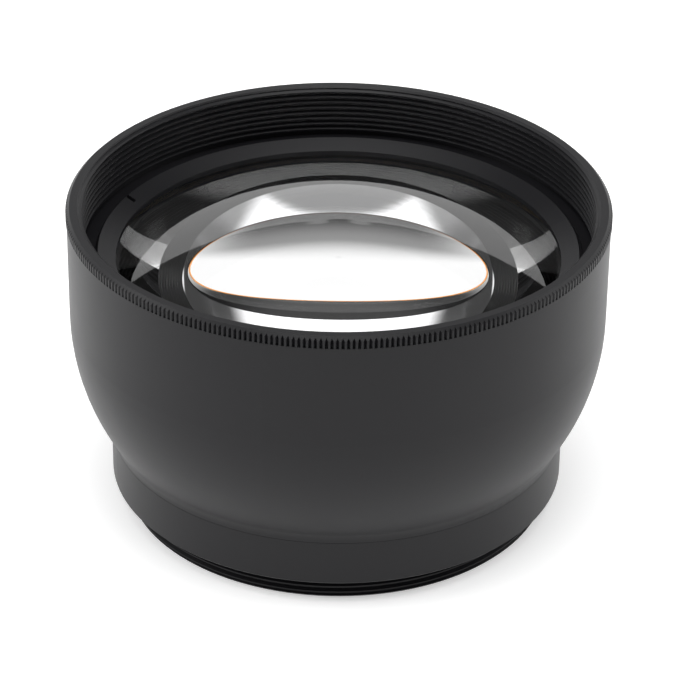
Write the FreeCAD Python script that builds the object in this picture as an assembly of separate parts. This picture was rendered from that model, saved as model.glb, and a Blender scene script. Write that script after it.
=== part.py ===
"""Telephoto converter lens, millimetres. Its axis is +Z, and z = 0 is the foot of the rear thread.

A bowl-shaped barrel carries a filter thread in front and holds the front glass pair under a slotted ring.
A screwed-in mount ring closes it behind, holds the rear glass and ends in the male mounting thread.
"""
import FreeCAD, Part
import math
import os

# Clearances between pieces
glass_clearance = 0.05
face_clearance = 0.03
baffle_clearance = 0.15

# Outside of the barrel
total_height = 39.4
barrel_radius = 32.4
bowl_arc_radius = 27.8
barrel_foot_height = 8.95
bowl_start_height = barrel_foot_height + 16.25
foot_cove_radius = 2.5
rim_outer_chamfer = 0.45

# Knurled grip at the rim
knurl_radius = barrel_radius + 0.1
knurl_foot_height = total_height - 1.4
knurl_slot_count = 332
knurl_slot_depth = 0.26
knurl_slot_width = 0.38

# Threads: nominal radius, each a wall's thickness inside the one round it, and pitch
filter_thread_radius = barrel_radius - 1.4
front_ring_thread_radius = filter_thread_radius - 1.5
joint_thread_radius = barrel_radius - 5.4
mounting_thread_radius = joint_thread_radius - 1.0
rear_ring_thread_radius = mounting_thread_radius - 7.0
coarse_pitch = 0.75
fine_pitch = 0.5
thread_clearance = 0.12
screwed_crest_width = 0.08
relief_depth = 0.12
relief_width = 0.6
lead_in = 0.15

# Making the thread grooves: how far a cutter stands out of its wall, and how near its cut must come
groove_overshoot = 0.06
groove_tolerance = 0.1
seam_step = 15
barrel_seam = 255
front_ring_seam = 90
mount_ring_seam = 195
rear_ring_seam = 0

# Front glass, a cemented pair
front_glass_radius = front_ring_thread_radius - 0.6
crown_front_sphere = 68.9
cement_sphere = 150.0
flint_back_sphere = 103.3
flint_back_radius = front_glass_radius - 9.9

# Bore of the barrel, from the rim down to the foot of the front glass
filter_thread_floor = total_height - 6.8
front_ring_thread_floor = filter_thread_floor - 2.7
glass_edge_height = front_ring_thread_floor + 0.72
front_land_height = glass_edge_height - 9.33
cement_height = front_land_height + 4.21
spacer_height = 1.03
baffle_flange_thickness = 0.8
baffle_seat_height = front_land_height - spacer_height - baffle_flange_thickness - 2 * face_clearance
cavity_radius = front_glass_radius - 1.5

# Front retaining ring and its slip washer
front_ring_bore_radius = front_glass_radius - 2.2
front_ring_lip_height = 0.72
front_ring_rise = 0.9
front_ring_collar_radius = front_ring_thread_radius - 0.55
front_ring_collar_height = 0.7
front_ring_lip_width = 0.35
front_washer_inner_radius = front_ring_bore_radius + 0.5
front_washer_outer_radius = front_glass_radius - 0.3
slip_washer_thickness = 0.2
spanner_slot_width = 0.6
spanner_slot_depth = 0.8
front_slot_inner_radius = front_ring_bore_radius + 1.0
front_slot_angle = 155.0

# Mount ring behind
neck_radius = joint_thread_radius + 0.7
neck_foot_height = 3.2
joint_spigot_height = 3.8
joint_spigot_bore = joint_thread_radius - 2.4
mounting_skirt_radius = mounting_thread_radius - 1.8
mounting_skirt_depth = 7.2
mounting_end_chamfer = 0.46
cell_outer_radius = rear_ring_thread_radius + 1.8
cell_foot_height = 1.2
edge_break = 0.2

# Rear glass
rear_glass_radius = rear_ring_thread_radius - 0.6
rear_seat_height = 9.6
rear_seat_radius = rear_glass_radius - 1.4
rear_seat_lip = 0.9
rear_front_sphere = 70.0
rear_back_sphere = 80.0
rear_surface_radius = rear_glass_radius - 1.8
rear_centre_thickness = 1.8

# Rear retaining ring
rear_ring_bore_radius = rear_ring_thread_radius - 2.5
rear_ring_height = 2.0
rear_slot_angle = 20.0
rear_washer_width = 1.4

# Spacer ring and light baffle between the glasses
spacer_bore_radius = flint_back_radius - 2.6
baffle_wall = 1.0
baffle_rib_count = 16
baffle_rib_depth = 0.45
baffle_outer_radius = cavity_radius - 0.1
baffle_mouth_radius = baffle_outer_radius - 0.7
baffle_throat_radius = rear_surface_radius + 1.0

axis = FreeCAD.Vector(0, 0, 1)
origin = FreeCAD.Vector(0, 0, 0)


def at(radius, height):
    """A point of a turning profile."""
    return FreeCAD.Vector(radius, 0, height)


def turned(start, *steps):
    """The solid turned about the axis from a closed profile of lines and of arcs, each (middle, end)."""
    edges = []
    here = start
    for step in steps + (start,):
        if isinstance(step, tuple):
            middle, there = step
            edges.append(Part.Arc(here, middle, there).toShape())
        else:
            there = step
            if here.distanceToPoint(there) < 1e-7:
                continue
            edges.append(Part.LineSegment(here, there).toShape())
        here = there
    return Part.Face(Part.Wire(edges)).revolve(origin, axis, 360).Solids[0]


def sagitta(surface_radius, radius):
    """How far a sphere of that radius falls away from its crown at that distance from the axis."""
    return surface_radius - math.sqrt(surface_radius ** 2 - radius ** 2)


def sphere_arc(surface_radius, crown_height, start_radius, end_radius):
    """The middle and end of an arc on a sphere crowned on the axis; a negative radius curves upwards."""
    bend = math.copysign(1, surface_radius)
    reach = abs(surface_radius)
    middle_radius = (start_radius + end_radius) / 2
    middle = at(middle_radius, crown_height - bend * sagitta(reach, middle_radius))
    end = at(end_radius, crown_height - bend * sagitta(reach, end_radius))
    return middle, end


def thread_depth(pitch):
    """Depth of a standard 60 degree thread, five eighths of the full triangle."""
    return 5 / 8 * math.sqrt(3) / 2 * pitch


def crest_radius_inside(nominal, pitch):
    """The wall radius left standing by a female thread."""
    return nominal - thread_depth(pitch)


def helical_groove(open_radius, tip_radius, open_width, pitch, low, high):
    """The solid that cuts a right-hand thread groove between two heights. It is a trapezoid in section."""
    over = math.copysign(groove_overshoot, tip_radius - open_radius)
    slope = math.tan(math.radians(30))
    wide = open_width / 2 + groove_overshoot * slope
    narrow = open_width / 2 - abs(tip_radius - open_radius) * slope
    helix = Part.makeHelix(pitch, high - low, open_radius)
    helix.translate(FreeCAD.Vector(0, 0, low))
    corners = [
        at(open_radius - over, low - wide),
        at(tip_radius, low - narrow),
        at(tip_radius, low + narrow),
        at(open_radius - over, low + wide),
    ]
    section = Part.makePolygon(corners + corners[:1])
    return Part.Wire(helix).makePipeShell([section], True, True)


def groove_with_volume(open_radius, tip_radius, open_width, pitch, low, high, wall_low, wall_high):
    """A groove's cutter and the volume that it should take from the wall between two heights."""
    depth = abs(tip_radius - open_radius)
    section = depth * (open_width - depth * math.tan(math.radians(30)))
    turns = (min(high, wall_high) - max(low, wall_low)) / pitch
    volume = section * math.pi * (open_radius + tip_radius) * turns
    return helical_groove(open_radius, tip_radius, open_width, pitch, low, high), volume


def female_groove(nominal, pitch, low, high, wall_low, wall_high):
    """The cutter for a female thread: groove tips at the nominal radius."""
    wall = crest_radius_inside(nominal, pitch)
    return groove_with_volume(wall, nominal, pitch * 3 / 4, pitch, low, high, wall_low, wall_high)


def male_groove(nominal, pitch, low, high, wall_low, wall_high, clearance=0.0, crest_width=None):
    """The cutter for a male thread on a blank of the nominal radius less the clearance."""
    crest = pitch / 8 if crest_width is None else crest_width
    blank = nominal - clearance
    root = crest_radius_inside(nominal, pitch) - clearance
    start = low + pitch / 2
    return groove_with_volume(blank, root, pitch - crest, pitch, start, high, wall_low, wall_high)


def threaded(blank, seam, *grooves):
    """The turned blank with its thread grooves cut, the seam of its faces at that angle or near it.

    A cut can fail where a groove's sweep meets the seam of the turned faces, so the seam is turned on until
    every groove takes about the volume that it should.
    """
    for turn in range(0, 360, seam_step):
        body = blank.copy()
        body.rotate(origin, axis, seam + turn)
        for cutter, volume in grooves:
            cut = body.cut(cutter)
            taken = body.Volume - cut.Volume
            if len(cut.Solids) != 1 or abs(taken / volume - 1) > groove_tolerance:
                break
            body = cut
        else:
            return body
    raise ValueError("no seam lets these grooves be cut")


def spanner_slots(inner_radius, outer_radius, top, depth, angle):
    """Two narrow slots across a ring's face for a lens spanner, opposite each other."""
    length = outer_radius - inner_radius
    slots = []
    for side in (0, 180):
        corner = FreeCAD.Vector(inner_radius, -spanner_slot_width / 2, top - depth)
        slot = Part.makeBox(length, spanner_slot_width, depth, corner)
        slot.rotate(origin, axis, angle + side)
        slots.append(slot)
    return slots


def foot_cove():
    """The hollow that runs the bowl into the neck: its centre, its upper end and its middle."""
    bowl_centre = at(barrel_radius - bowl_arc_radius, bowl_start_height)
    reach = bowl_arc_radius + foot_cove_radius
    across = neck_radius + foot_cove_radius - bowl_centre.x
    centre = at(neck_radius + foot_cove_radius, bowl_start_height - math.sqrt(reach ** 2 - across ** 2))
    top = bowl_centre + (centre - bowl_centre) * (bowl_arc_radius / reach)
    half = math.atan2(top.z - centre.z, centre.x - top.x) / 2
    middle = centre + at(-foot_cove_radius * math.cos(half), foot_cove_radius * math.sin(half))
    return centre, top, middle


def bowl_point(height):
    """The point of the bowl's outside at that height."""
    return at(barrel_radius - sagitta(bowl_arc_radius, bowl_start_height - height), height)


def joint_thread_top():
    """Height at which the barrel's rear thread ends, just above the mount ring's spigot."""
    return barrel_foot_height + joint_spigot_height + relief_width


def make_barrel():
    """The bowl-shaped outer barrel: knurl, filter thread, ring thread, glass bore and rear thread."""
    rim = total_height
    foot = barrel_foot_height
    filter_wall = crest_radius_inside(filter_thread_radius, coarse_pitch)
    ring_wall = crest_radius_inside(front_ring_thread_radius, coarse_pitch)
    joint_wall = crest_radius_inside(joint_thread_radius, coarse_pitch)
    filter_relief = filter_thread_radius + relief_depth
    ring_relief = front_ring_thread_radius + relief_depth
    joint_relief = joint_thread_radius + relief_depth
    cove_centre, cove_top, cove_middle = foot_cove()
    bowl_middle = bowl_point((bowl_start_height + cove_top.z) / 2)
    glass_bore = front_glass_radius + glass_clearance
    body = turned(
        at(filter_relief, rim),
        at(knurl_radius - rim_outer_chamfer, rim),
        at(knurl_radius, rim - rim_outer_chamfer),
        at(knurl_radius, knurl_foot_height),
        at(barrel_radius, knurl_foot_height - (knurl_radius - barrel_radius)),
        at(barrel_radius, bowl_start_height),
        (bowl_middle, cove_top),
        (cove_middle, at(neck_radius, cove_centre.z)),
        at(neck_radius, foot),
        at(joint_relief, foot),
        at(joint_wall, foot + joint_relief - joint_wall),
        at(joint_wall, joint_thread_top() - relief_width),
        at(joint_relief, joint_thread_top() - relief_width),
        at(joint_relief, joint_thread_top()),
        at(cavity_radius, joint_thread_top()),
        at(cavity_radius, baffle_seat_height),
        at(glass_bore, baffle_seat_height),
        at(glass_bore, front_ring_thread_floor),
        at(ring_relief, front_ring_thread_floor),
        at(ring_relief, front_ring_thread_floor + relief_width),
        at(ring_wall, front_ring_thread_floor + relief_width),
        at(ring_wall, filter_thread_floor - lead_in),
        at(ring_wall + lead_in, filter_thread_floor),
        at(filter_relief, filter_thread_floor),
        at(filter_relief, filter_thread_floor + relief_width),
        at(filter_wall, filter_thread_floor + relief_width),
        at(filter_wall, rim - (filter_relief - filter_wall)),
    )
    filter_start = filter_thread_floor + relief_width / 2
    filter_end = rim + coarse_pitch
    filter_wall_low = filter_thread_floor + relief_width
    ring_wall_low = front_ring_thread_floor + relief_width
    ring_end = filter_thread_floor + coarse_pitch / 2
    joint_end = joint_thread_top() - relief_width / 2
    joint_wall_high = joint_thread_top() - relief_width
    body = threaded(
        body,
        barrel_seam,
        female_groove(
            filter_thread_radius, coarse_pitch, filter_start, filter_end, filter_wall_low, rim - 2 * lead_in
        ),
        female_groove(
            front_ring_thread_radius,
            coarse_pitch,
            front_ring_phase(),
            ring_end,
            ring_wall_low,
            filter_thread_floor - lead_in / 2,
        ),
        female_groove(
            joint_thread_radius, coarse_pitch, joint_phase(), joint_end, foot + lead_in, joint_wall_high
        ),
    )
    return body.cut(knurl_slots())


def front_ring_phase():
    """Height where the groove for the front ring starts, in the relief below its thread."""
    return front_ring_thread_floor + relief_width / 2


def joint_phase():
    """Height where the barrel's rear thread groove starts, below its foot."""
    return barrel_foot_height - coarse_pitch


def knurl_slots():
    """One cutter with every V-shaped slot of the knurl, as a star ring pushed up past the rim."""
    height = total_height - knurl_foot_height + 1
    outside = knurl_radius + 0.5
    slots = []
    spread = knurl_slot_width / 2 * (1 + 0.5 / knurl_slot_depth)
    corners = [
        at(knurl_radius - knurl_slot_depth, knurl_foot_height),
        FreeCAD.Vector(outside, spread, knurl_foot_height),
        FreeCAD.Vector(outside, -spread, knurl_foot_height),
    ]
    wedge = Part.Face(Part.makePolygon(corners + corners[:1])).extrude(FreeCAD.Vector(0, 0, height))
    for number in range(knurl_slot_count):
        slot = wedge.copy()
        slot.rotate(origin, axis, 360 / knurl_slot_count * number)
        slots.append(slot)
    return Part.makeCompound(slots)


def crown_height_at(radius):
    """Height of the front glass's outer surface at that distance from the axis."""
    crown_height = glass_edge_height + sagitta(crown_front_sphere, front_glass_radius)
    return crown_height - sagitta(crown_front_sphere, radius)


def make_front_crown():
    """The front glass: a thick lens with a steep crown and a flatter cemented back."""
    return turned(
        at(0, cement_height),
        sphere_arc(-cement_sphere, cement_height, 0, front_glass_radius),
        at(front_glass_radius, glass_edge_height),
        sphere_arc(crown_front_sphere, crown_height_at(0), front_glass_radius, 0),
    )


def make_front_flint():
    """The glass cemented behind it: hollow on both sides, with a flat land that seats on the spacer ring."""
    flint_back_height = front_land_height + sagitta(flint_back_sphere, flint_back_radius)
    cement_edge = cement_height + sagitta(cement_sphere, front_glass_radius)
    return turned(
        at(0, flint_back_height),
        sphere_arc(flint_back_sphere, flint_back_height, 0, flint_back_radius),
        at(front_glass_radius, front_land_height),
        at(front_glass_radius, cement_edge),
        sphere_arc(-cement_sphere, cement_height, front_glass_radius, 0),
    )


def make_front_washer():
    """A thin dished washer that lets the ring turn without dragging the glass."""
    inner = crown_height_at(front_washer_inner_radius) + face_clearance
    outer = crown_height_at(front_washer_outer_radius) + face_clearance
    return turned(
        at(front_washer_inner_radius, inner),
        at(front_washer_outer_radius, outer),
        at(front_washer_outer_radius, outer + slip_washer_thickness),
        at(front_washer_inner_radius, inner + slip_washer_thickness),
    )


def make_front_ring():
    """The ring screwed down on the front glass, with a sloping face and two spanner slots."""
    crest = front_ring_thread_radius - thread_clearance
    raised = 2 * face_clearance + slip_washer_thickness
    lip_height = crown_height_at(front_ring_bore_radius) + 2 * face_clearance
    lip_radius = front_ring_bore_radius + front_ring_lip_width
    under_inner = crown_height_at(front_washer_inner_radius) + raised
    foot = crown_height_at(front_washer_outer_radius) + raised
    face_inner = lip_height + front_ring_lip_height
    face_outer = face_inner + front_ring_rise
    shoulder = face_outer - front_ring_collar_height
    ring = turned(
        at(front_ring_bore_radius, lip_height),
        at(lip_radius, lip_height),
        at(front_washer_inner_radius, under_inner),
        at(front_washer_outer_radius, foot),
        at(crest - lead_in, foot),
        at(crest, foot + lead_in),
        at(crest, shoulder - lead_in),
        at(crest - lead_in, shoulder),
        at(front_ring_collar_radius, shoulder),
        at(front_ring_collar_radius, face_outer - lead_in),
        at(front_ring_collar_radius - lead_in, face_outer),
        at(front_ring_bore_radius, face_inner),
    )
    phase = front_ring_phase() - coarse_pitch
    end = shoulder + coarse_pitch
    groove = male_groove(
        front_ring_thread_radius,
        coarse_pitch,
        phase,
        end,
        foot + lead_in / 2,
        shoulder - lead_in / 2,
        thread_clearance,
        screwed_crest_width,
    )
    slots = spanner_slots(
        front_slot_inner_radius, crest + 1, face_outer + 1, spanner_slot_depth + 1, front_slot_angle
    )
    return threaded(ring, front_ring_seam, groove).cut(slots)


def web_height():
    """Top of the mount ring's web, over the seat of the rear glass."""
    return rear_seat_height + rear_seat_lip


def baffle_top():
    """Height of the top of the baffle's flange."""
    return baffle_seat_height + face_clearance + baffle_flange_thickness


def make_spacer():
    """The ring under the front pair's flat land; its bore stands up under the hollow."""
    foot = baffle_top() + face_clearance
    top = front_land_height - face_clearance / 10
    hollow = sagitta(flint_back_sphere, flint_back_radius) - sagitta(flint_back_sphere, spacer_bore_radius)
    return turned(
        at(spacer_bore_radius, foot),
        at(front_glass_radius, foot),
        at(front_glass_radius, top),
        at(flint_back_radius, top),
        at(spacer_bore_radius, top + hollow - face_clearance),
    )


def make_baffle():
    """A flanged funnel, ribbed inside against stray light, between the front pair and the rear glass."""
    top = baffle_top()
    foot = web_height() + baffle_clearance
    under = top - baffle_flange_thickness
    step = (top - foot) / baffle_rib_count
    narrowing = (baffle_mouth_radius - baffle_throat_radius) / baffle_rib_count
    ribs = []
    for number in range(baffle_rib_count):
        crest = baffle_throat_radius + narrowing * number
        low = foot + step * number
        ribs.append(at(crest, low))
        ribs.append(at(crest + baffle_rib_depth, low + step * 0.85))
    ribs.append(at(baffle_mouth_radius, top))
    return turned(
        *ribs,
        at(front_glass_radius, top),
        at(front_glass_radius, under),
        at(baffle_outer_radius, under),
        at(baffle_throat_radius + baffle_rib_depth + baffle_wall, foot),
    )


def make_mount_ring():
    """The neck that screws into the barrel, holds the rear glass and ends in the male mounting thread."""
    foot = barrel_foot_height - face_clearance
    spigot_crest = joint_thread_radius - thread_clearance
    spigot_relief = crest_radius_inside(joint_thread_radius, coarse_pitch) - thread_clearance - relief_depth
    spigot_top = foot + joint_spigot_height
    mounting_root = crest_radius_inside(mounting_thread_radius, coarse_pitch)
    cell_wall = crest_radius_inside(rear_ring_thread_radius, fine_pitch)
    cell_relief = rear_ring_thread_radius + relief_depth
    cell_bore = rear_glass_radius + glass_clearance
    cell_thread_top = rear_glass_foot()
    ring = turned(
        at(mounting_skirt_radius, 0),
        at(mounting_thread_radius - mounting_end_chamfer, 0),
        at(mounting_thread_radius, mounting_end_chamfer),
        at(mounting_thread_radius, neck_foot_height - relief_width),
        at(mounting_root - relief_depth, neck_foot_height - relief_width),
        at(mounting_root - relief_depth, neck_foot_height),
        at(neck_radius - edge_break, neck_foot_height),
        at(neck_radius, neck_foot_height + edge_break),
        at(neck_radius, foot),
        at(spigot_relief, foot),
        at(spigot_relief, foot + relief_width),
        at(spigot_crest, foot + relief_width + spigot_crest - spigot_relief),
        at(spigot_crest, spigot_top - relief_width),
        at(spigot_relief, spigot_top - relief_width + spigot_crest - spigot_relief),
        at(spigot_relief, spigot_top),
        at(joint_spigot_bore, spigot_top),
        at(joint_spigot_bore, web_height()),
        at(rear_seat_radius, web_height()),
        at(rear_seat_radius, rear_seat_height),
        at(cell_bore, rear_seat_height),
        at(cell_bore, cell_thread_top),
        at(cell_relief, cell_thread_top),
        at(cell_relief, cell_thread_top - relief_width),
        at(cell_wall, cell_thread_top - relief_width),
        at(cell_wall, cell_foot_height + lead_in),
        at(cell_wall + lead_in, cell_foot_height),
        at(cell_outer_radius, cell_foot_height),
        at(cell_outer_radius, mounting_skirt_depth),
        at(mounting_skirt_radius, mounting_skirt_depth),
    )
    joint_start = joint_phase() + coarse_pitch
    joint_end = spigot_top + coarse_pitch / 2
    mounting_start = -coarse_pitch * 3 / 2
    mounting_end = neck_foot_height - relief_width / 2
    cell_end = cell_thread_top - relief_width / 2
    return threaded(
        ring,
        mount_ring_seam,
        male_groove(
            joint_thread_radius,
            coarse_pitch,
            joint_start,
            joint_end,
            foot + relief_width + lead_in,
            spigot_top - relief_width + lead_in,
            thread_clearance,
            screwed_crest_width,
        ),
        male_groove(
            mounting_thread_radius,
            coarse_pitch,
            mounting_start,
            mounting_end,
            mounting_end_chamfer / 2,
            neck_foot_height - relief_width,
        ),
        female_groove(
            rear_ring_thread_radius,
            fine_pitch,
            rear_ring_phase(),
            cell_end,
            cell_foot_height + lead_in / 2,
            cell_thread_top - relief_width,
        ),
    )


def rear_glass_top():
    """Height of the rear glass's front land, just under its seat."""
    return rear_seat_height - face_clearance


def rear_glass_foot():
    """Height of the rear glass's back land."""
    front_hollow = sagitta(rear_front_sphere, rear_surface_radius)
    back_hollow = sagitta(rear_back_sphere, rear_surface_radius)
    return rear_glass_top() - front_hollow - rear_centre_thickness - back_hollow


def rear_ring_phase():
    """Height where the groove for the rear ring starts, below its thread."""
    return cell_foot_height - fine_pitch


def make_rear_lens():
    """The rear glass, hollow on both sides with a flat land round each."""
    top = rear_glass_top()
    foot = rear_glass_foot()
    front_middle = top - sagitta(rear_front_sphere, rear_surface_radius)
    back_middle = foot + sagitta(rear_back_sphere, rear_surface_radius)
    return turned(
        at(0, back_middle),
        sphere_arc(rear_back_sphere, back_middle, 0, rear_surface_radius),
        at(rear_glass_radius, foot),
        at(rear_glass_radius, top),
        at(rear_surface_radius, top),
        sphere_arc(-rear_front_sphere, front_middle, rear_surface_radius, 0),
    )


def make_rear_washer():
    """A thin flat washer between the rear glass and its ring."""
    top = rear_glass_foot() - face_clearance
    outer = rear_glass_radius - face_clearance
    return turned(
        at(outer - rear_washer_width, top),
        at(outer, top),
        at(outer, top - slip_washer_thickness),
        at(outer - rear_washer_width, top - slip_washer_thickness),
    )


def make_rear_ring():
    """The ring screwed up behind the rear glass, with two spanner slots."""
    crest = rear_ring_thread_radius - thread_clearance
    top = rear_glass_foot() - 2 * face_clearance - slip_washer_thickness
    foot = top - rear_ring_height
    ring = turned(
        at(rear_ring_bore_radius, foot),
        at(crest - lead_in, foot),
        at(crest, foot + lead_in),
        at(crest, top - lead_in),
        at(crest - lead_in, top),
        at(rear_ring_bore_radius, top),
    )
    start = rear_ring_phase()
    end = top + fine_pitch
    groove = male_groove(
        rear_ring_thread_radius,
        fine_pitch,
        start,
        end,
        foot + lead_in / 2,
        top - lead_in / 2,
        thread_clearance,
        screwed_crest_width,
    )
    slot_top = foot + spanner_slot_depth
    slot_depth = spanner_slot_depth + 1
    slots = spanner_slots(rear_ring_bore_radius - 1, crest + 1, slot_top, slot_depth, rear_slot_angle)
    return threaded(ring, rear_ring_seam, groove).cut(slots)


def write(name, shape):
    """Checks a piece and writes it as its own file."""
    solids = shape.Solids
    print(f"{name}: {len(solids)} solid, valid {shape.isValid()}, volume {shape.Volume:.1f}")
    whole = solids[0] if len(solids) == 1 else Part.makeCompound(solids)
    whole.exportStep(f"parts/{name}.step")


def main():
    """Makes every piece of the lens."""
    os.makedirs("parts", exist_ok=True)
    write("front_barrel", make_barrel())
    write("front_crown_lens", make_front_crown())
    write("front_flint_lens", make_front_flint())
    write("front_slip_washer", make_front_washer())
    write("front_retaining_ring", make_front_ring())
    write("glass_spacer_ring", make_spacer())
    write("baffle_tube", make_baffle())
    write("mount_ring", make_mount_ring())
    write("rear_lens", make_rear_lens())
    write("rear_slip_washer", make_rear_washer())
    write("rear_retaining_ring", make_rear_ring())


main()
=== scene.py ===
"""Looks for a screw-on converter lens, standing on its mounting thread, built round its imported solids.

Everything is in metres in the solids' own frame: the axis of the lens is +Z and z = 0 is the foot of the
rear thread. The camera looks along +Y and down at the front glass. Pieces made here give their sizes in
millimetres.
"""

import logging
import math
from dataclasses import dataclass, field
from enum import Enum
from typing import Any, Sequence, Union

import bpy
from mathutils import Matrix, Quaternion, Vector

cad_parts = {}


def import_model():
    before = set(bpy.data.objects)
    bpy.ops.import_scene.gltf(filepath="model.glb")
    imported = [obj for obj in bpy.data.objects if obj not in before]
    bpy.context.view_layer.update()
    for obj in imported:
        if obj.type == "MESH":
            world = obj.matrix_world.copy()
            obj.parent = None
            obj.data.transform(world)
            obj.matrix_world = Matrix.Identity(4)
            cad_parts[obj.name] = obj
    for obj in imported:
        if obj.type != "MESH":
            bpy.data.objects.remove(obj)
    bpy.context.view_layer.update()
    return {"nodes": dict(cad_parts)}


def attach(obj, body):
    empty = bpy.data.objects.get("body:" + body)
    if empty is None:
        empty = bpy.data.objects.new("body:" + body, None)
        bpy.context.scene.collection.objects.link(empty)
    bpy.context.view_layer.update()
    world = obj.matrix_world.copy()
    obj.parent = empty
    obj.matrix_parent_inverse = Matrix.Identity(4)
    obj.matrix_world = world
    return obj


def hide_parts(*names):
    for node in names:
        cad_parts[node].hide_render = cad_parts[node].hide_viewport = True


MILLIMETRE = 0.001
EDGE_ANGLE = 5.0
SAME_PLACE = 1e-6
WELD_DISTANCE = 1e-7

logging.basicConfig(level=logging.INFO, format="%(message)s")
log = logging.getLogger("lens")

Profile = Sequence[tuple[float, float]]
Colour = tuple[float, ...]


class Step(Enum):
    """How a value goes from 0 to 1 between two limits."""

    SOFT = "SMOOTHSTEP"
    STRAIGHT = "LINEAR"


def millimetres(value: float) -> float:
    """A length given in millimetres, in metres."""
    return value * MILLIMETRE


def sagitta(surface_radius: float, radius: float) -> float:
    """How far a sphere falls away from its crown at that distance from the axis."""
    return surface_radius - math.sqrt(surface_radius**2 - radius**2)


def deselect_everything() -> None:
    """Leaves object mode with nothing selected."""
    if bpy.context.object is not None and bpy.context.object.mode != "OBJECT":
        bpy.ops.object.mode_set(mode="OBJECT")
    bpy.ops.object.select_all(action="DESELECT")


def turn_piece(name: str, profile: Profile, sides: int) -> bpy.types.Object:
    """Makes a closed turned piece by drawing rings out along a profile.

    Args:
        name: The new object's name.
        profile: (radius, height) of each ring, in millimetres. A first or last radius of 0 closes on the
            axis; otherwise the last ring is bridged to the first.
        sides: How many sides a ring has.

    Returns:
        The new object, at the origin, with its place in its mesh.
    """
    deselect_everything()
    rings = [(r, z) for r, z in profile if r > 0]
    radius, height = rings[0]
    bpy.ops.mesh.primitive_circle_add(
        vertices=sides,
        radius=millimetres(radius),
        fill_type="NOTHING",
        location=(0, 0, millimetres(height)),
    )
    piece = bpy.context.object
    piece.name = piece.data.name = name
    bpy.ops.object.transform_apply(location=True, rotation=True, scale=True)
    bpy.ops.object.mode_set(mode="EDIT")
    bpy.ops.mesh.select_mode(type="VERT")
    bpy.ops.mesh.select_all(action="SELECT")
    for next_radius, next_height in rings[1:]:
        bpy.ops.mesh.extrude_edges_move(
            TRANSFORM_OT_translate={"value": (0, 0, millimetres(next_height - height))}
        )
        share = next_radius / radius
        bpy.ops.transform.resize(
            value=(share, share, 1), center_override=(0, 0, millimetres(next_height))
        )
        radius, height = next_radius, next_height
    if profile[-1][0] == 0:
        bpy.ops.mesh.extrude_edges_move(
            TRANSFORM_OT_translate={"value": (0, 0, millimetres(profile[-1][1] - height))}
        )
        bpy.ops.mesh.merge(type="CENTER")
    if profile[0][0] == 0:
        first_height = rings[0][1]
        select_ring(piece, rings[0][0], first_height)
        bpy.ops.mesh.extrude_edges_move(
            TRANSFORM_OT_translate={"value": (0, 0, millimetres(profile[0][1] - first_height))}
        )
        bpy.ops.mesh.merge(type="CENTER")
    if profile[0][0] > 0 and profile[-1][0] > 0:
        bpy.ops.mesh.select_all(action="DESELECT")
        bpy.ops.mesh.select_non_manifold()
        bpy.ops.mesh.bridge_edge_loops()
    bpy.ops.mesh.select_all(action="SELECT")
    bpy.ops.mesh.remove_doubles(threshold=WELD_DISTANCE)
    bpy.ops.mesh.normals_make_consistent(inside=False)
    bpy.ops.object.mode_set(mode="OBJECT")
    bpy.ops.object.shade_smooth_by_angle(angle=math.radians(EDGE_ANGLE))
    return piece


def select_ring(piece: bpy.types.Object, radius: float, height: float) -> None:
    """Selects only the ring of points at that radius and height, both in millimetres, in edit mode."""
    bpy.ops.mesh.select_all(action="DESELECT")
    bpy.ops.object.mode_set(mode="OBJECT")
    for point in piece.data.vertices:
        away = math.hypot(point.co.x, point.co.y) - millimetres(radius)
        up = point.co.z - millimetres(height)
        point.select = abs(away) < SAME_PLACE and abs(up) < SAME_PLACE
    bpy.ops.object.mode_set(mode="EDIT")


def distance_from_axis(face: bpy.types.MeshPolygon) -> float:
    """How far a face's middle is from the axis, in millimetres."""
    return math.hypot(face.center.x, face.center.y) / MILLIMETRE


class Signal:
    """A value in a material, so that maths on it is written as Python."""

    def __init__(self, graph: "Graph", socket: bpy.types.NodeSocket) -> None:
        """Wraps an output socket of that graph."""
        self.graph = graph
        self.socket = socket

    def _join(self, operation: str, first: Any, second: Any) -> "Signal":
        """Adds a Math node on two values or links."""
        return self.graph.node("ShaderNodeMath", {"operation": operation}, [first, second])

    def __add__(self, other: Any) -> "Signal":
        """This value plus another."""
        return self._join("ADD", self, other)

    __radd__ = __add__

    def __sub__(self, other: Any) -> "Signal":
        """This value less another."""
        return self._join("SUBTRACT", self, other)

    def __rsub__(self, other: Any) -> "Signal":
        """Another value less this one."""
        return self._join("SUBTRACT", other, self)

    def __mul__(self, other: Any) -> "Signal":
        """This value times another."""
        return self._join("MULTIPLY", self, other)

    __rmul__ = __mul__

    def __truediv__(self, other: Any) -> "Signal":
        """This value divided by another."""
        return self._join("DIVIDE", self, other)

    def __pow__(self, other: Any) -> "Signal":
        """This value raised to a power."""
        return self._join("POWER", self, other)

    def at_most(self, limit: float) -> "Signal":
        """This value, or the limit where that is less."""
        return self._join("MINIMUM", self, limit)

    def clamped(self) -> "Signal":
        """This value kept between 0 and 1."""
        return self.graph.node("ShaderNodeClamp", {}, [self])

    def between(self, low: float, high: float, step: Step = Step.SOFT) -> "Signal":
        """0 below low and 1 above high, with a soft or straight step between them."""
        return self.graph.node(
            "ShaderNodeMapRange",
            {"interpolation_type": step.value},
            {"Value": self, "From Min": low, "From Max": high},
        )


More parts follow.
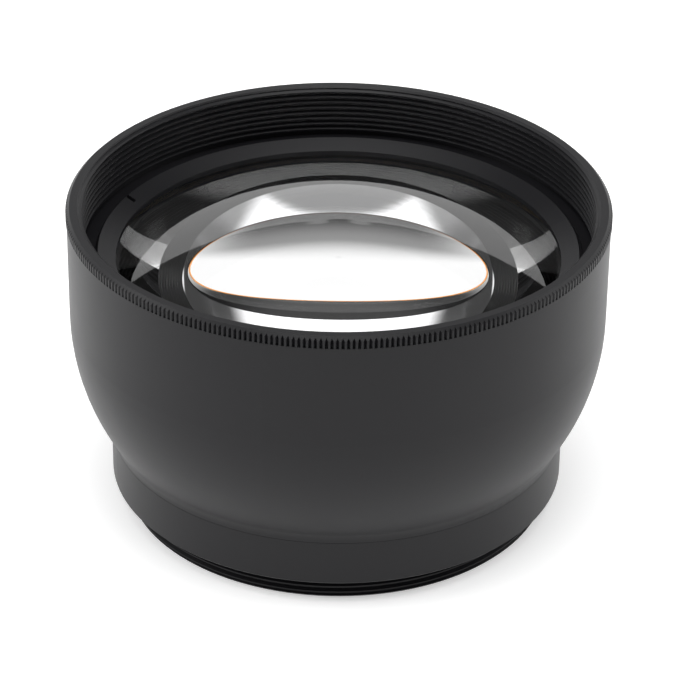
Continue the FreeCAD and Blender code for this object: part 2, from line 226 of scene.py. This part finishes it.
class Graph:
    """The nodes of one material or of the world."""

    def __init__(self, owner: Union[bpy.types.Material, bpy.types.World]) -> None:
        """Starts an empty graph on its owner."""
        owner.use_nodes = True
        self.tree = owner.node_tree
        self.tree.nodes.clear()

    def node(
        self, kind: str, settings: dict[str, Any], values: Any, output: Union[int, str] = 0
    ) -> Signal:
        """Adds a node.

        Args:
            kind: The node's type.
            settings: Its properties, set first.
            values: Values or links of its sockets, by order or by name.
            output: Which output to give back.

        Returns:
            The chosen output.
        """
        made = self.tree.nodes.new(kind)
        for key, value in settings.items():
            setattr(made, key, value)
        pairs = values.items() if isinstance(values, dict) else enumerate(values)
        for key, value in pairs:
            if isinstance(value, Signal):
                self.tree.links.new(value.socket, made.inputs[key])
            else:
                made.inputs[key].default_value = value
        return Signal(self, made.outputs[output])

    def place(self) -> Signal:
        """The point's place in the lens's frame, in metres."""
        return self.node("ShaderNodeTexCoord", {}, {}, "Object")

    def seen(self) -> Signal:
        """1 for rays from the camera, from metal and from glass, 0 for light that falls on a surface."""
        rays = [
            self.node("ShaderNodeLightPath", {}, {}, output)
            for output in ("Is Camera Ray", "Is Glossy Ray", "Is Transmission Ray")
        ]
        return (rays[0] + rays[1] + rays[2]).clamped()

    def mixed(self, factor: Any, first: Any, second: Any) -> Signal:
        """A colour between two colours."""
        return self.node(
            "ShaderNodeMix",
            {"data_type": "RGBA"},
            {0: factor, 6: padded(first), 7: padded(second)},
            2,
        )

    def noise(self, vector: Signal, scale: float, detail: float = 2.0) -> Signal:
        """Cloudy noise from 0 to 1 with that many clouds to the metre."""
        return self.node("ShaderNodeTexNoise", {}, {"Vector": vector, "Scale": scale, "Detail": detail})

    def turned(self) -> Signal:
        """A vector of the distance from the axis and the height, the same all the way round."""
        place = self.place()
        flat = self.node("ShaderNodeVectorMath", {"operation": "MULTIPLY"}, [place, (1, 1, 0)])
        away = self.node("ShaderNodeVectorMath", {"operation": "LENGTH"}, [flat], "Value")
        height = self.node("ShaderNodeSeparateXYZ", {}, [place], "Z")
        return self.node("ShaderNodeCombineXYZ", {}, {"X": away, "Z": height})

    def bump(self, height: Any, strength: float, depth: float) -> Signal:
        """A bumped normal; the depth is in metres."""
        return self.node(
            "ShaderNodeBump", {}, {"Strength": strength, "Distance": depth, "Height": height}
        )

    def finish(self, shader: Signal, kind: str = "ShaderNodeOutputMaterial") -> None:
        """Sends a shader to the output."""
        made = self.tree.nodes.new(kind)
        self.tree.links.new(shader.socket, made.inputs["Surface"])


def padded(colour: Any) -> Any:
    """A colour with its alpha, or a link as it is."""
    if isinstance(colour, Signal):
        return colour
    return (*colour, 1.0) if len(colour) == 3 else colour


def shaded(colour: Colour, share: float) -> Colour:
    """A colour made darker or lighter by that share."""
    return tuple(min(1.0, channel * share) for channel in colour)


@dataclass(frozen=True)
class Finish:
    """A surface finish. Each kind fills in its own nodes."""

    name: str

    def material(self) -> bpy.types.Material:
        """Makes this finish's material."""
        made = bpy.data.materials.new(self.name)
        graph = Graph(made)
        graph.finish(self.shader(graph))
        return made

    def shader(self, graph: Graph) -> Signal:
        """The finish's shader."""
        raise NotImplementedError


@dataclass(frozen=True)
class BlackAnodised(Finish):
    """Satin black anodised aluminium: blasted grain, faint clouds of tone and faint turning marks."""

    colour: Colour = (0.0078, 0.0076, 0.0090)
    roughness: float = 0.40
    gloss: float = 0.27
    clouds_per_metre: float = 70.0
    grains_per_metre: float = 7000.0
    grain_depth: float = 0.000012
    marks_per_metre: float = 5200.0
    marks: float = 0.15
    cloud_share: float = 0.6
    darkest: float = 0.82
    lightest: float = 1.18
    cloud_roughness: float = 0.10
    mark_roughness: float = 0.2
    bump_strength: float = 0.5

    def shader(self, graph: Graph) -> Signal:
        """Black with a soft sheen that the grain and the marks break up."""
        place = graph.place()
        cloud = graph.noise(place, self.clouds_per_metre, 3.0)
        grain = graph.noise(place, self.grains_per_metre)
        rings = graph.noise(graph.turned(), self.marks_per_metre)
        tone = graph.mixed(
            cloud * self.cloud_share + grain * (1.0 - self.cloud_share),
            shaded(self.colour, self.darkest),
            shaded(self.colour, self.lightest),
        )
        height = grain * (1.0 - self.marks) + rings * self.marks
        roughness = (cloud - 0.5) * self.cloud_roughness + self.roughness
        return graph.node(
            "ShaderNodeBsdfPrincipled",
            {},
            {
                "Base Color": tone,
                "Roughness": roughness + (rings - 0.5) * (self.mark_roughness * self.marks),
                "Specular IOR Level": self.gloss,
                "Normal": graph.bump(height, self.bump_strength, self.grain_depth),
            },
        )


@dataclass(frozen=True)
class MatteBlack(Finish):
    """Flat black lacquer against stray light, with a dusty tooth."""

    colour: Colour = (0.009, 0.009, 0.0095)
    roughness: float = 0.62
    gloss: float = 0.3
    specks_per_metre: float = 3500.0
    speck_detail: float = 4.0
    speck_depth: float = 0.00002
    speck_strength: float = 0.6
    speck_roughness: float = 0.2
    clouds_per_metre: float = 120.0
    darkest: float = 0.75
    lightest: float = 1.3

    def shader(self, graph: Graph) -> Signal:
        """A dull black whose tooth catches a little light."""
        place = graph.place()
        tooth = graph.noise(place, self.specks_per_metre, self.speck_detail)
        cloud = graph.noise(place, self.clouds_per_metre)
        return graph.node(
            "ShaderNodeBsdfPrincipled",
            {},
            {
                "Base Color": graph.mixed(
                    cloud, shaded(self.colour, self.darkest), shaded(self.colour, self.lightest)
                ),
                "Roughness": (tooth - 0.5) * self.speck_roughness + self.roughness,
                "Specular IOR Level": self.gloss,
                "Normal": graph.bump(tooth, self.speck_strength, self.speck_depth),
            },
        )


@dataclass(frozen=True)
class PolishedBevel(Finish):
    """A bare polished bevel of aluminium with fine marks round the axis."""

    colour: Colour = (0.93, 0.93, 0.94)
    roughness: float = 0.10
    roughness_range: float = 0.06
    marks_per_metre: float = 8000.0
    mark_depth: float = 0.00001
    mark_strength: float = 0.1
    darkest: float = 0.92
    lightest: float = 1.05

    def shader(self, graph: Graph) -> Signal:
        """Pale metal whose turning marks catch the light."""
        rings = graph.noise(graph.turned(), self.marks_per_metre)
        return graph.node(
            "ShaderNodeBsdfPrincipled",
            {},
            {
                "Base Color": graph.mixed(
                    rings, shaded(self.colour, self.darkest), shaded(self.colour, self.lightest)
                ),
                "Metallic": 1.0,
                "Roughness": (rings - 0.5) * self.roughness_range + self.roughness,
                "Normal": graph.bump(rings, self.mark_strength, self.mark_depth),
            },
        )


@dataclass(frozen=True)
class RolledBrass(Finish):
    """Thin brass strip with fine rolling marks and a dull skin."""

    colour: Colour = (0.72, 0.50, 0.22)
    tarnish: Colour = (0.40, 0.25, 0.10)
    roughness: float = 0.32
    roughness_range: float = 0.08
    marks_per_metre: float = 9000.0
    mark_depth: float = 0.00001
    mark_strength: float = 0.3
    darkest: float = 0.9
    lightest: float = 1.1
    patches_per_metre: float = 260.0
    patch_detail: float = 3.0
    patch_from: float = 0.45
    patch_full: float = 0.75
    patch_colour_share: float = 0.6
    patch_roughness: float = 0.15

    def shader(self, graph: Graph) -> Signal:
        """Brass, with its marks running round the washer and dull patches on it."""
        rings = graph.noise(graph.turned(), self.marks_per_metre)
        cloud = graph.noise(graph.place(), self.patches_per_metre, self.patch_detail)
        patches = cloud.between(self.patch_from, self.patch_full)
        bright = graph.mixed(
            rings, shaded(self.colour, self.darkest), shaded(self.colour, self.lightest)
        )
        roughness = (rings - 0.5) * self.roughness_range + self.roughness
        return graph.node(
            "ShaderNodeBsdfPrincipled",
            {},
            {
                "Base Color": graph.mixed(patches * self.patch_colour_share, bright, self.tarnish),
                "Metallic": 1.0,
                "Roughness": roughness + patches * self.patch_roughness,
                "Normal": graph.bump(rings, self.mark_strength, self.mark_depth),
            },
        )


@dataclass(frozen=True)
class OpticalGlass(Finish):
    """Clear polished glass with a few specks of dust."""

    index: float = 1.8
    clear: Colour = (0.99, 0.99, 0.99)
    dust: Colour = (0.55, 0.55, 0.56)
    dust_share: float = 0.5
    specks_per_metre: float = 420.0
    speck_core: float = 0.03
    speck_edge: float = 0.06
    dusty_places_per_metre: float = 900.0
    dusty_from: float = 0.70
    dusty_full: float = 0.74

    def shader(self, graph: Graph) -> Signal:
        """Glass, and dull grey where a speck lies."""
        place = graph.place()
        near = graph.node(
            "ShaderNodeTexVoronoi", {}, {"Vector": place, "Scale": self.specks_per_metre}
        )
        rare = graph.noise(place, self.dusty_places_per_metre).between(self.dusty_from, self.dusty_full)
        speck = (1.0 - near.between(self.speck_core, self.speck_edge)) * rare
        clear = graph.node(
            "ShaderNodeBsdfPrincipled",
            {},
            {
                "Base Color": padded(self.clear),
                "Roughness": 0.0,
                "IOR": self.index,
                "Transmission Weight": 1.0,
            },
        )
        grey = graph.node("ShaderNodeBsdfDiffuse", {}, {"Color": padded(self.dust)})
        return graph.node("ShaderNodeMixShader", {}, [speck * self.dust_share, clear, grey])


@dataclass(frozen=True)
class CoatedHollow(Finish):
    """The coated hollow back of the front glass: it mirrors only what meets it at a flat enough angle."""

    index: float = 1.8
    white: Colour = (1.0, 1.0, 1.0)
    fringe: Colour = (1.0, 0.42, 0.08)
    mirror_from: float = 0.86
    mirror_full: float = 0.90
    white_from: float = 0.90
    white_full: float = 0.98

    def shader(self, graph: Graph) -> Signal:
        """Bare refraction, turning into a mirror at the angle of total reflection, with an amber edge."""
        turned_back = graph.node("ShaderNodeFresnel", {}, {"IOR": self.index})
        share = turned_back.between(self.mirror_from, self.mirror_full, Step.STRAIGHT)
        past_fringe = turned_back.between(self.white_from, self.white_full, Step.STRAIGHT)
        through = graph.node(
            "ShaderNodeBsdfRefraction",
            {},
            {"Color": padded(self.white), "Roughness": 0.0, "IOR": self.index},
        )
        amber, plain = (
            graph.node("ShaderNodeBsdfGlossy", {}, {"Color": padded(colour), "Roughness": 0.0})
            for colour in (self.fringe, self.white)
        )
        mirror = graph.node("ShaderNodeMixShader", {}, [past_fringe, amber, plain])
        return graph.node("ShaderNodeMixShader", {}, [share, through, mirror])


@dataclass(frozen=True)
class TablePaper(Finish):
    """White paper that fades into a white background."""

    colour: Colour = (0.86, 0.86, 0.86)
    light: Colour = (1.0, 1.0, 1.0)
    lift: float = 0.42

    def shader(self, graph: Graph) -> Signal:
        """White, lifted for the eye, for metal and for glass only, so that the lens's shadow stays."""
        seen = graph.seen() * self.lift
        paper = graph.node("ShaderNodeBsdfDiffuse", {}, {"Color": padded(self.colour)})
        glow = graph.node("ShaderNodeEmission", {}, {"Color": padded(self.light), "Strength": seen})
        return graph.node("ShaderNodeAddShader", {}, [paper, glow])


@dataclass
class FrontGlass:
    """The front pair, a crown and a hollow glass cemented to it, as one body of glass."""

    edge_radius: float = 28.9
    edge_height: float = 30.6
    bevel_radius: float = 27.7
    crown_height: float = 37.17
    crown_sphere: float = 68.9
    hollow_height: float = 23.05
    hollow_sphere: float = 103.3
    hollow_radius: float = 19.0
    tolerance: float = 0.02
    rings: int = 72
    sides: int = 320
    finish: Finish = OpticalGlass("front_optical_glass", index=1.8)
    back_finish: Finish = CoatedHollow("coated_hollow", index=1.8)

    def profile(self) -> Profile:
        """From the middle of the hollow back out over the land, up the edge and over the crown."""
        land = self.hollow_height - sagitta(self.hollow_sphere, self.hollow_radius)
        points: list[tuple[float, float]] = [(0.0, self.hollow_height)]
        for number in range(1, self.rings + 1):
            radius = self.hollow_radius * number / self.rings
            points.append((radius, self.hollow_height - sagitta(self.hollow_sphere, radius)))
        points += [(self.edge_radius, land), (self.edge_radius, self.edge_height)]
        for number in range(self.rings, 0, -1):
            radius = self.bevel_radius * number / self.rings
            points.append((radius, self.crown_height - sagitta(self.crown_sphere, radius)))
        points.append((0.0, self.crown_height))
        return points

    def build(self) -> bpy.types.Object:
        """Makes the glass and puts it in the place of the two solids."""
        piece = turn_piece("front_glass", self.profile(), self.sides)
        piece.data.materials.append(self.finish.material())
        piece.data.materials.append(self.back_finish.material())
        for face in piece.data.polygons:
            below = face.center.z < millimetres(self.hollow_height + self.tolerance)
            if below and distance_from_axis(face) < self.hollow_radius:
                face.material_index = 1
        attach(piece, "barrel")
        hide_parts("front_crown_lens", "front_flint_lens")
        return piece


@dataclass
class RearGlass:
    """The rear glass, hollow on both sides."""

    edge_radius: float = 18.4
    surface_radius: float = 16.6
    top: float = 9.57
    front_sphere: float = 70.0
    back_sphere: float = 80.0
    centre: float = 1.8
    rings: int = 32
    sides: int = 256
    finish: Finish = OpticalGlass("rear_optical_glass", index=1.52)

    def profile(self) -> Profile:
        """From the middle of the back out over its land, up the edge and into the front hollow."""
        front_middle = self.top - sagitta(self.front_sphere, self.surface_radius)
        back_middle = front_middle - self.centre
        foot = back_middle - sagitta(self.back_sphere, self.surface_radius)
        points: list[tuple[float, float]] = [(0.0, back_middle)]
        for number in range(1, self.rings + 1):
            radius = self.surface_radius * number / self.rings
            points.append((radius, back_middle - sagitta(self.back_sphere, radius)))
        points += [(self.edge_radius, foot), (self.edge_radius, self.top)]
        for number in range(self.rings, 0, -1):
            radius = self.surface_radius * number / self.rings
            points.append((radius, front_middle + sagitta(self.front_sphere, radius)))
        points.append((0.0, front_middle))
        return points

    def build(self) -> bpy.types.Object:
        """Makes the glass and puts it in the place of its solid."""
        piece = turn_piece("rear_glass", self.profile(), self.sides)
        piece.data.materials.append(self.finish.material())
        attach(piece, "rear_glass")
        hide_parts("rear_lens")
        return piece


@dataclass
class GlassSpacer:
    """The ring under the front glass: black and ribbed above, with a bright bevel in its bore."""

    bore: float = 16.4
    foot_bore: float = 14.9
    outer_radius: float = 28.9
    land_radius: float = 19.0
    foot: float = 20.26
    land: float = 21.25
    bore_top: float = 21.68
    ribs: int = 9
    rib_depth: float = 0.12
    tolerance: float = 0.2
    sides: int = 256
    outside: Finish = MatteBlack("spacer_matte")
    inside: Finish = PolishedBevel("spacer_bevel")

    def profile(self) -> Profile:
        """Round the ring, with fine ribs on the slope that stands up under the hollow."""
        points = [
            (self.foot_bore, self.foot),
            (self.outer_radius, self.foot),
            (self.outer_radius, self.land),
        ]
        width = (self.land_radius - self.bore) / self.ribs
        rise = (self.bore_top - self.land) / self.ribs
        for number in range(self.ribs):
            radius = self.land_radius - width * number
            height = self.land + rise * number
            points.append((radius, height))
            points.append((radius - width / 2, height + rise / 2 - self.rib_depth))
        points.append((self.bore, self.bore_top))
        return points

    def build(self) -> bpy.types.Object:
        """Makes the ring and puts it in the place of its solid."""
        piece = turn_piece("glass_spacer", self.profile(), self.sides)
        piece.data.materials.append(self.outside.material())
        piece.data.materials.append(self.inside.material())
        for face in piece.data.polygons:
            above = face.center.z > millimetres(self.foot + self.tolerance)
            if above and distance_from_axis(face) < self.bore:
                face.material_index = 1
        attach(piece, "barrel")
        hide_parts("glass_spacer_ring")
        return piece


@dataclass
class MetalParts:
    """The solids of metal, each with its finish."""

    barrel: Finish = BlackAnodised("barrel_anodised")
    ring: Finish = BlackAnodised(
        "ring_anodised",
        colour=(0.010, 0.0098, 0.0112),
        roughness=0.36,
        marks_per_metre=8000.0,
        marks=0.6,
    )
    baffle: Finish = MatteBlack("baffle_matte")
    washer: Finish = RolledBrass("washer_brass")

    def dress(self, nodes: dict[str, bpy.types.Object]) -> None:
        """Gives each solid its finish."""
        plan = {
            self.barrel: ("front_barrel", "mount_ring"),
            self.ring: ("front_retaining_ring", "rear_retaining_ring"),
            self.baffle: ("baffle_tube",),
            self.washer: ("front_slip_washer", "rear_slip_washer"),
        }
        for finish, names in plan.items():
            material = finish.material()
            for name in names:
                solid = nodes[name]
                solid.data.materials.clear()
                solid.data.materials.append(material)
                log.info("dressed %s in %s", name, material.name)


@dataclass
class Surroundings:
    """What stands round the lens: a white sheet behind with a soft top edge, walls, and a dim room above.

    Angles are in degrees. The sheet's edge rises a little to both sides of the middle, with its rise and the
    wings' limits given over the square of the angle to the side. The other limits are parts of a direction
    one long.
    """

    sheet: float = 1.0
    seen_in_glass: float = 1.26
    left: float = 0.72
    right: float = 0.66
    front: float = 0.4
    room_behind: float = 0.06
    room_beside: float = 0.28
    room_in_front: float = 0.26
    overhead: float = 0.6
    dim_ceiling: float = 0.22
    bright_ceiling: float = 1.6
    ceiling_dim_until: float = -0.17
    ceiling_bright_from: float = -0.07
    wings: float = 0.7
    edge: float = 28.98
    edge_rise: float = 0.098
    edge_rise_limit: float = 0.66
    sharp_share: float = 0.72
    sharp_edge: tuple[float, float] = (-0.10, 0.06)
    soft_edge: tuple[float, float] = (0.0, 0.42)
    wings_begin: tuple[float, float] = (0.8, 3.6)
    wings_end: tuple[float, float] = (9.0, 25.0)
    wings_top: tuple[float, float] = (1.0, 1.6)
    overhead_from: float = 50.0
    overhead_full: float = 60.0
    corner: tuple[float, float] = (0.35, 0.65)
    middle: tuple[float, float] = (-0.2, 0.2)
    least_reach: float = 1e-6
    white: Colour = (1.0, 1.0, 1.0)

    def build(self) -> None:
        """Makes the world. The camera sees plain white."""
        world = bpy.data.worlds.new("surroundings")
        bpy.context.scene.world = world
        graph = Graph(world)
        direction = graph.node("ShaderNodeTexCoord", {}, {}, "Generated")
        across, along, up = (graph.node("ShaderNodeSeparateXYZ", {}, [direction], part) for part in "XYZ")
        behind, before, rightward = self.sectors(across, along)
        beside = 1.0 - behind - before
        walls = beside * (rightward * (self.right - self.left) + self.left)
        in_glass = graph.node("ShaderNodeLightPath", {}, {}, "Is Transmission Ray")
        low = behind * self.sheet + before * self.front + walls
        low = low * (1.0 - in_glass) + in_glass * self.seen_in_glass
        overhead = up.between(self.sine(self.overhead_from), self.sine(self.overhead_full))
        covered, wings = self.sheet_edge(across, along, up)
        high = behind * (wings * self.wings + self.room_behind)
        high = high + before * self.room_in_front + beside * self.room_beside
        back = along.between(self.ceiling_dim_until, self.ceiling_bright_from)
        in_view = back * (self.bright_ceiling - self.dim_ceiling) + self.dim_ceiling
        ceiling = (1.0 - in_glass) * self.overhead + in_glass * in_view
        room = high * (1.0 - overhead) + overhead * ceiling
        level = low * covered + room * (1.0 - covered)
        camera = graph.node("ShaderNodeLightPath", {}, {}, "Is Camera Ray")
        strength = graph.node("ShaderNodeMix", {"data_type": "FLOAT"}, {0: camera, 2: level, 3: 1.0}, 0)
        graph.finish(
            graph.node("ShaderNodeBackground", {}, {"Color": padded(self.white), "Strength": strength}),
            "ShaderNodeOutputWorld",
        )

    def sectors(self, across: Signal, along: Signal) -> tuple[Signal, Signal, Signal]:
        """How far a direction is behind, in front, and to the right, each from 0 to 1."""
        reach = (across * across + along * along) ** 0.5 + self.least_reach
        behind = (along / reach).between(*self.corner)
        before = (0.0 - along / reach).between(*self.corner)
        return behind, before, (across / reach).between(*self.middle)

    def sheet_edge(self, across: Signal, along: Signal, up: Signal) -> tuple[Signal, Signal]:
        """The sheet's share of a direction, and the pale wings that stand above it beside the middle."""
        angle = math.radians(self.edge)
        per_degree = math.radians(1.0) * math.cos(angle)
        swing = (across / along) ** 2.0 * math.degrees(1.0) ** 2
        rise = (swing * self.edge_rise).at_most(self.edge_rise_limit)
        over = (up - math.sin(angle)) / per_degree - rise
        sharp = self.sharp_share * (1.0 - over.between(*self.sharp_edge))
        soft = (1.0 - self.sharp_share) * (1.0 - over.between(*self.soft_edge))
        beside = swing.between(*self.wings_begin) * (1.0 - swing.between(*self.wings_end))
        return sharp + soft, beside * (1.0 - over.between(*self.wings_top))

    @staticmethod
    def sine(degrees: float) -> float:
        """The height of a direction at that angle above the floor."""
        return math.sin(math.radians(degrees))


@dataclass(frozen=True)
class Lamp:
    """A square soft lamp aimed at the lens. Lengths in metres, power in watts."""

    name: str
    place: tuple[float, float, float]
    size: float
    power: float
    target: tuple[float, float, float] = (0.0, 0.0, 0.02)

    def build(self) -> None:
        """Hangs the lamp, hidden from the glass."""
        deselect_everything()
        bpy.ops.object.light_add(type="AREA", location=self.place)
        lamp = bpy.context.object
        lamp.name = self.name
        lamp.data.shape = "SQUARE"
        lamp.data.size = self.size
        lamp.data.energy = self.power
        lamp.visible_transmission = False
        aim = Vector(self.target) - Vector(self.place)
        lamp.rotation_euler = aim.to_track_quat("-Z", "Y").to_euler()


@dataclass
class Camera:
    """The camera, where the photograph was taken from. Lengths in millimetres, angles in degrees."""

    distance: float = 402.7
    elevation: float = 30.31
    target_height: float = 20.18
    across: float = 0.29
    roll: float = 0.65
    focal_pixels: float = 3305.0
    frame_pixels: float = 680.0
    sensor: float = 36.0
    clip: tuple[float, float] = (0.01, 20.0)

    def build(self) -> None:
        """Places and aims the camera."""
        angle = math.radians(self.elevation)
        back, up = self.distance * math.cos(angle), self.distance * math.sin(angle)
        place = Vector((0, -back, self.target_height + up))
        aim = Vector((self.across, 0, self.target_height)) - place
        deselect_everything()
        bpy.ops.object.camera_add(location=tuple(place * MILLIMETRE))
        camera = bpy.context.object
        camera.name = "camera"
        camera.data.sensor_width = self.sensor
        camera.data.lens = self.focal_pixels / self.frame_pixels * self.sensor
        camera.data.clip_start, camera.data.clip_end = self.clip
        camera.rotation_mode = "QUATERNION"
        camera.rotation_quaternion = aim.to_track_quat("-Z", "Y") @ Quaternion(
            (0, 0, 1), math.radians(self.roll)
        )
        bpy.context.scene.camera = camera


@dataclass
class Studio:
    """The white table, the soft lamps, the surroundings and the camera."""

    table_width: float = 6.0
    paper: Finish = TablePaper("table_paper")
    lamps: tuple[Lamp, ...] = (
        Lamp("left_lamp", (-0.9, -0.1, 0.5), 0.6, 4.3),
        Lamp("right_lamp", (0.9, 0.1, 0.5), 0.6, 2.3),
        Lamp("top_lamp", (0.0, -0.2, 1.1), 0.8, 7.4),
    )
    surroundings: Surroundings = field(default_factory=Surroundings)
    camera: Camera = field(default_factory=Camera)

    def build(self) -> None:
        """Sets everything up."""
        self.lay_table()
        for lamp in self.lamps:
            lamp.build()
        self.surroundings.build()
        self.camera.build()

    def lay_table(self) -> None:
        """The table top under the lens."""
        deselect_everything()
        bpy.ops.mesh.primitive_plane_add(size=self.table_width, location=(0, 0, 0))
        table = bpy.context.object
        table.name = "table"
        table.data.materials.append(self.paper.material())


def main() -> None:
    """Builds the lens's looks and its studio."""
    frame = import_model()
    bpy.context.scene.view_settings.view_transform = "Standard"
    MetalParts().dress(frame["nodes"])
    for part in (FrontGlass(), GlassSpacer(), RearGlass()):
        log.info("made %s", part.build().name)
    Studio().build()
    bpy.context.view_layer.update()
    log.info("the studio stands")


if __name__ == "__main__":
    main()
